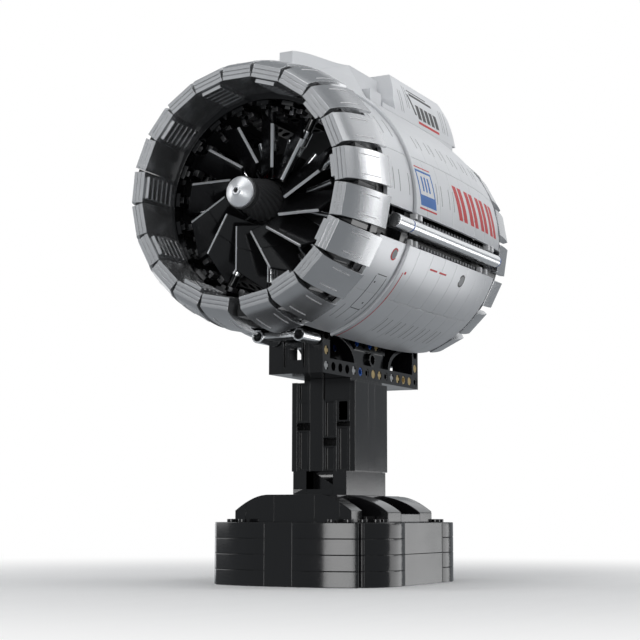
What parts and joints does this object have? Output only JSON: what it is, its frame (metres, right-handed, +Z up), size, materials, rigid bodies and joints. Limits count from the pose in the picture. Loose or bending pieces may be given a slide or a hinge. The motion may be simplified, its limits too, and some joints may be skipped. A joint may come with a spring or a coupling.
{
  "type": "brick-built display model of a jet engine",
  "caption": "Brick-built turbofan display model on a pedestal stand, with a turning fan and side cowl doors hinged under the pylon.",
  "frame": {"origin": "centre of the stand's flat underside", "axes": "+Z up, the engine's inlet faces -Y, +X is the side to the right of someone looking into the inlet"},
  "size_m": [0.143, 0.2434, 0.295],
  "materials": {
    "black_plastic": "glossy moulded black",
    "silver_plastic": "metallic silver, semi-gloss",
    "pale_plastic": "light pearl silver",
    "white_plastic": "white, glossy",
    "bright_silver": "bright lacquered silver",
    "grey_plastic": "mid grey",
    "tan_plastic": "tan",
    "blue_plastic": "blue",
    "red_plastic": "red"
  },
  "bodies": {
    "stand_and_engine": {"base_courses": "black_plastic", "base_panels": "black_plastic", "base_studs": "black_plastic", "chin_tubes": "silver_plastic", "collar_lower": "pale_plastic", "collar_upper": "pale_plastic", "core_case": "silver_plastic", "cover_deck": "black_plastic", "cover_ends": "black_plastic", "cover_fins": "black_plastic", "cover_trays": "black_plastic", "cowl_lower_left": "pale_plastic", "cowl_lower_right": "pale_plastic", "door_hinges": "pale_plastic", "duct_slats": "black_plastic", "duct_wall": "black_plastic", "exhaust_plug": "black_plastic", "frame_rings": "black_plastic", "lower_clips": "white_plastic", "neck_channels": "black_plastic", "neck_core": "black_plastic", "neck_foot": "black_plastic", "neck_side_panels": "black_plastic", "petal_clips": "black_plastic", "petal_spacers": "black_plastic", "petals_ribbed": "silver_plastic", "petals_smooth": "silver_plastic", "pins_black": "black_plastic", "pins_blue": "blue_plastic", "pins_grey": "grey_plastic", "pins_tan": "tan_plastic", "pylon_beam": "black_plastic", "pylon_block": "pale_plastic", "pylon_ridge": "pale_plastic", "pylon_skirt": "pale_plastic", "pylon_wedges": "pale_plastic", "rear_struts": "black_plastic", "red_stop": "red_plastic", "saddle_arches": "black_plastic", "saddle_beams": "black_plastic", "saddle_blocks": "black_plastic", "saddle_webs": "black_plastic", "side_rails": "black_plastic", "side_tubes": "silver_plastic", "stator_arms": "black_plastic", "stator_bars": "silver_plastic", "stator_bushes": "silver_plastic", "stator_hub": "black_plastic", "tail_petals": "silver_plastic", "tube_joints": "blue_plastic"},
    "fan": {"spinner": "bright_silver", "fan_hub": "black_plastic", "blades_inner": "black_plastic", "blades_outer": "black_plastic", "fan_shaft": "black_plastic"},
    "right_door": {"door_right": "pale_plastic", "door_clips_right": "white_plastic"},
    "left_door": {"door_left": "pale_plastic", "door_clips_left": "white_plastic"}
  },
  "joints": [
    {"name": "fan_spin", "type": "hinge", "parent": "stand_and_engine", "child": "fan", "pos_m": [0, 0, 0.194], "axis": [0, 1, 0], "continuous": true},
    {"name": "right_door_swing", "type": "hinge", "parent": "stand_and_engine", "child": "right_door", "pos_m": [0.0172, 0, 0.26], "axis": [0, -1, 0], "range_deg": [0, 60]},
    {"name": "left_door_swing", "type": "hinge", "parent": "stand_and_engine", "child": "left_door", "pos_m": [-0.0172, 0, 0.26], "axis": [0, 1, 0], "range_deg": [0, 60]}
  ]
}
